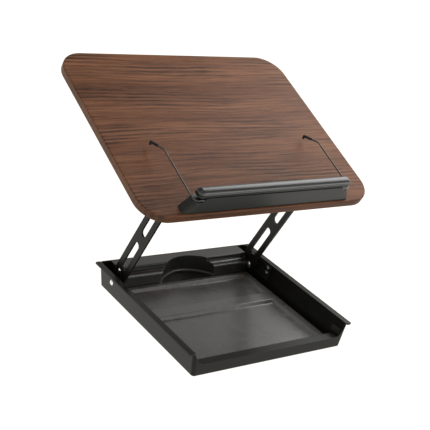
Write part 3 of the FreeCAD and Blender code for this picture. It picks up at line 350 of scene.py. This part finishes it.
def board_place(across, up, out):
    """A point given from the middle of the board's lower edge: to the right, up the slope, off the face."""
    slope = math.radians(BOARD_SLOPE)
    return BOARD_FOOT + Vector((across, up * math.cos(slope) - out * math.sin(slope),
                                up * math.sin(slope) + out * math.cos(slope)))


def board_bounds(node):
    """The lowest and highest corners of a solid, as distances across, up and off the board."""
    back = Matrix.Rotation(math.radians(-BOARD_SLOPE), 3, "X")
    places = [back @ (corner.co - BOARD_FOOT) for corner in node.data.vertices]
    return (Vector([min(place[axis] for place in places) for axis in range(3)]),
            Vector([max(place[axis] for place in places) for axis in range(3)]))


def rounded_outline(half_length, half_depth, radius):
    """Points round a rectangle with round corners, the same number for every size."""
    points = []
    for corner, (side, end) in enumerate(((1, 1), (-1, 1), (-1, -1), (1, -1))):
        middle = (side * (half_length - radius), end * (half_depth - radius))
        for step in range(CAP_STEPS + 1):
            angle = math.radians(90 * (corner + step / CAP_STEPS))
            points.append((middle[0] + radius * math.cos(angle), middle[1] + radius * math.sin(angle)))
    return points


def stand_in(name, mesh, body, node_name):
    """A piece of a body, made of a slot's material, shown in place of a plain solid."""
    piece = bpy.data.objects.new(name, mesh)
    bpy.context.scene.collection.objects.link(piece)
    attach(piece, body)
    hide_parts(node_name)
    return piece


def domed_cap(node):
    """The ledge's cap: a low dome over a thin brim, with round ends."""
    low, high = board_bounds(node)
    middle = (low + high) / 2
    half_length = (high.x - low.x) / 2
    half_depth = (high.y - low.y) / 2
    levels = [(CAP_BRIM_INSET, 0), (0, CAP_BRIM * 0.3), (0, CAP_BRIM * 0.8), (CAP_BRIM_INSET, CAP_BRIM)]
    dome = high.z - low.z - CAP_BRIM
    for step in range(1, CAP_RINGS + 1):
        turn = math.radians(90 * step / CAP_RINGS)
        reach = (half_depth - CAP_BRIM_INSET) * CAP_CLOSED
        levels.append((CAP_BRIM_INSET + reach * (1 - math.cos(turn)), CAP_BRIM + dome * math.sin(turn)))
    shape = bmesh.new()
    rings = []
    for inset, rise in levels:
        depth = half_depth - inset
        outline = rounded_outline(half_length - inset, depth, max(depth - CAP_STRAIGHT, 0.5 * depth))
        rings.append([shape.verts.new(board_place(middle.x + across, middle.y + up, low.z + rise))
                      for across, up in outline])
    for lower, upper in zip(rings, rings[1:]):
        for here in range(len(lower)):
            after = (here + 1) % len(lower)
            shape.faces.new((lower[here], lower[after], upper[after], upper[here]))
    shape.faces.new(rings[-1])
    shape.faces.new(reversed(rings[0]))
    mesh = bpy.data.meshes.new("domed_cap")
    shape.to_mesh(mesh)
    shape.free()
    mesh.shade_smooth()
    mesh.materials.append(FINISHES["cap_plastic"])
    return stand_in("domed_cap", mesh, "reading_board", node.name)


class Tree:
    """A tree of geometry nodes with its group input and output."""

    def __init__(self, name, sizes):
        self.group = bpy.data.node_groups.new(name, "GeometryNodeTree")
        face = self.group.interface
        face.new_socket("Points", in_out="INPUT", socket_type="NodeSocketGeometry")
        for size in sizes:
            face.new_socket(size, in_out="INPUT", socket_type="NodeSocketFloat")
        face.new_socket("Shape", in_out="OUTPUT", socket_type="NodeSocketGeometry")
        self.given = self.group.nodes.new("NodeGroupInput").outputs
        self.end = self.group.nodes.new("NodeGroupOutput")

    def node(self, kind, settings=None, **sockets):
        """A new node with its settings made and its inputs set or linked, a list for several links."""
        made = self.group.nodes.new(kind)
        for name, value in (settings or {}).items():
            setattr(made, name, value)
        for name, value in sockets.items():
            for one in value if isinstance(value, list) else [value]:
                if isinstance(one, bpy.types.NodeSocket):
                    self.group.links.new(one, socket_of(made, name))
                else:
                    socket_of(made, name).default_value = one
        return made

    def times(self, value, factor):
        """The product of two numbers."""
        return self.node("ShaderNodeMath", {"operation": "MULTIPLY"}, _0=value, _1=factor).outputs["Value"]

    def cylinder(self, sides, radius, depth):
        """A closed cylinder round Z, with its middle at the origin."""
        return self.node("GeometryNodeMeshCylinder", Vertices=sides, Radius=radius,
                         Depth=depth).outputs["Mesh"]

    def lifted(self, shape, height):
        """The shape moved along Z."""
        way = self.node("ShaderNodeCombineXYZ", Z=height).outputs["Vector"]
        return self.node("GeometryNodeTransform", Geometry=shape, Translation=way).outputs["Geometry"]

    def boolean(self, operation, **shapes):
        """Shapes joined to one solid or cut out of it."""
        return self.node("GeometryNodeMeshBoolean", {"operation": operation, "solver": "EXACT"},
                         **shapes).outputs["Mesh"]


def screw_tree():
    """Socket screws on points, each turned so that its head looks along the point's own direction."""
    tree = Tree("socket_screws", WALL_SCREW)
    radius, height, socket, shank, length = [tree.given[name] for name in WALL_SCREW]
    half = tree.times(height, 0.5)
    crown = tree.node("GeometryNodeMeshCone", Vertices=SCREW_SIDES, Radius_Bottom=radius,
                      Radius_Top=tree.times(radius, CROWN_SHARE), Depth=half).outputs["Mesh"]
    whole = tree.boolean("UNION", Mesh_2=[
        tree.lifted(tree.cylinder(SCREW_SIDES, radius, half), tree.times(height, 0.25)),
        tree.lifted(crown, half),
        tree.lifted(tree.cylinder(SHANK_SIDES, shank, length), tree.times(length, -0.46))])
    key = tree.lifted(tree.cylinder(SOCKET_SIDES, socket, height), tree.times(height, 0.9))
    screw = tree.boolean("DIFFERENCE", Mesh_1=whole, Mesh_2=[key])
    way = tree.node("GeometryNodeInputNamedAttribute", {"data_type": "FLOAT_VECTOR"}, Name="way")
    turn = tree.node("FunctionNodeAlignRotationToVector", {"axis": "Z"}, Vector=way.outputs["Attribute"])
    placed = tree.node("GeometryNodeInstanceOnPoints", Points=tree.given["Points"], Instance=screw,
                       Rotation=turn.outputs["Rotation"]).outputs["Instances"]
    real = tree.node("GeometryNodeRealizeInstances", Geometry=placed).outputs["Geometry"]
    steel = tree.node("GeometryNodeSetMaterial", Geometry=real, Material=FINISHES["steel"])
    tree.group.links.new(steel.outputs["Geometry"], tree.end.inputs["Shape"])
    return tree.group


def socket_screws(name, tree, sizes, seats, body, node_name):
    """Screws at seats, each a place and the way that its head looks, in place of a plain solid."""
    points = bpy.data.meshes.new(name)
    points.from_pydata([place for place, _ in seats], [], [])
    ways = points.attributes.new("way", "FLOAT_VECTOR", "POINT")
    for entry, (_, way) in zip(ways.data, seats):
        entry.vector = way
    maker = bpy.data.objects.new(name, points)
    bpy.context.scene.collection.objects.link(maker)
    modifier = maker.modifiers.new("screws", "NODES")
    modifier.node_group = tree
    for item in tree.interface.items_tree:
        if item.name in sizes:
            modifier[item.identifier] = sizes[item.name]
    ready = maker.evaluated_get(bpy.context.evaluated_depsgraph_get())
    mesh = bpy.data.meshes.new_from_object(ready)
    bpy.data.objects.remove(maker)
    return stand_in(name, mesh, body, node_name)


def all_screws():
    """The screws of the two wall brackets and of the board's brackets."""
    tree = screw_tree()
    lean = math.radians(WALL_LEAN)
    for name, side in (("left", -1), ("right", 1)):
        inward = Vector((-side * math.cos(lean), 0, math.sin(lean)))
        seats = [(Vector((side * across, depth, height)), inward) for across, depth, height in WALL_SEATS]
        socket_screws(f"{name}_wall_screws", tree, WALL_SCREW, seats, "base", f"{name}_bracket_screws")
    under = BOARD_FOOT - board_place(0, 0, 1)
    seats = [(board_place(side * across, up, LEAF_FACE), under)
             for side in (-1, 1) for across, up in LEAF_SEATS]
    socket_screws("leaf_screws", tree, LEAF_SCREW, seats, "reading_board", "board_bracket_screws")


# Studio and camera

def set_world():
    """A bright horizon and a dimmer ceiling, as in a white studio."""
    world = bpy.data.worlds.new("studio")
    bpy.context.scene.world = world
    world.use_nodes = True
    tree = world.node_tree
    background = tree.nodes["Background"]
    background.inputs["Color"].default_value = STUDIO_TONE
    way = tree.nodes.new("ShaderNodeTexCoord")
    parts = tree.nodes.new("ShaderNodeSeparateXYZ")
    fall = tree.nodes.new("ShaderNodeMapRange")
    fall.interpolation_type = "SMOOTHSTEP"
    for name, value in STUDIO_FALL.items():
        fall.inputs[name].default_value = value
    tree.links.new(way.outputs["Generated"], parts.inputs["Vector"])
    tree.links.new(parts.outputs["Z"], fall.inputs["Value"])
    tree.links.new(fall.outputs["Result"], background.inputs["Strength"])


def soft_light(name, place, target, width, height, power):
    """A rectangular soft box that faces its target."""
    data = bpy.data.lights.new(name, "AREA")
    data.shape = "RECTANGLE"
    data.size = width
    data.size_y = height
    data.energy = power
    lamp = bpy.data.objects.new(name, data)
    bpy.context.scene.collection.objects.link(lamp)
    lamp.location = place
    lamp.rotation_mode = "QUATERNION"
    lamp.rotation_quaternion = (Vector(target) - Vector(place)).to_track_quat("-Z", "Y")


def set_floor():
    """A plain pale table top under the stand."""
    corners = [(side * FLOOR_HALF, end * FLOOR_HALF, 0)
               for side, end in ((-1, -1), (1, -1), (1, 1), (-1, 1))]
    mesh = bpy.data.meshes.new("floor")
    mesh.from_pydata(corners, [], [(0, 1, 2, 3)])
    floor = bpy.data.objects.new("floor", mesh)
    bpy.context.scene.collection.objects.link(floor)
    pale = Finish("pale_floor", FLOOR_TONE, 0.9, specular=0.1)
    mesh.materials.append(pale.use(Emission_Color=FLOOR_GLOW_TONE, Emission_Strength=FLOOR_GLOW))


def set_camera():
    """The camera at the photograph's place, looking its way and rolled as it was."""
    around = math.radians(CAMERA_AZIMUTH)
    above = math.radians(CAMERA_ELEVATION)
    level = math.cos(above)
    back = Vector((math.sin(around) * level, -math.cos(around) * level, math.sin(above)))
    data = bpy.data.cameras.new("camera")
    data.sensor_width = CAMERA_SENSOR
    data.lens = CAMERA_LENS
    camera = bpy.data.objects.new("camera", data)
    bpy.context.scene.collection.objects.link(camera)
    roll = Matrix.Rotation(math.radians(CAMERA_ROLL), 4, "Z")
    turned = back.to_track_quat("Z", "Y").to_matrix().to_4x4() @ roll
    camera.matrix_world = Matrix.Translation(CAMERA_PLACE) @ turned
    bpy.context.scene.camera = camera


# The stand

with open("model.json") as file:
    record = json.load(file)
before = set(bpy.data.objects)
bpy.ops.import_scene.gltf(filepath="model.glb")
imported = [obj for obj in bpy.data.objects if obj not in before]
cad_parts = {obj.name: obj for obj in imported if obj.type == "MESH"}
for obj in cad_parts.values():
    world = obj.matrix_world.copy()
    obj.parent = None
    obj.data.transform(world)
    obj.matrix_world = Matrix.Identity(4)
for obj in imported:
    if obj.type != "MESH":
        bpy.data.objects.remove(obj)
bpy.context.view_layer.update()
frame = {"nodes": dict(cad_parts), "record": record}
set_camera()

for part in frame["record"]["subparts"]:
    finish = "spring_wire" if part["node"] in SPRUNG else part["material_slot"]
    surface = frame["nodes"][part["node"]].data
    surface.materials.clear()
    surface.materials.append(FINISHES[finish])

domed_cap(frame["nodes"]["ledge_cap"])
all_screws()

set_world()
set_floor()
for soft_box in SOFT_BOXES:
    soft_light(*soft_box)
bpy.context.scene.view_settings.view_transform = "Standard"
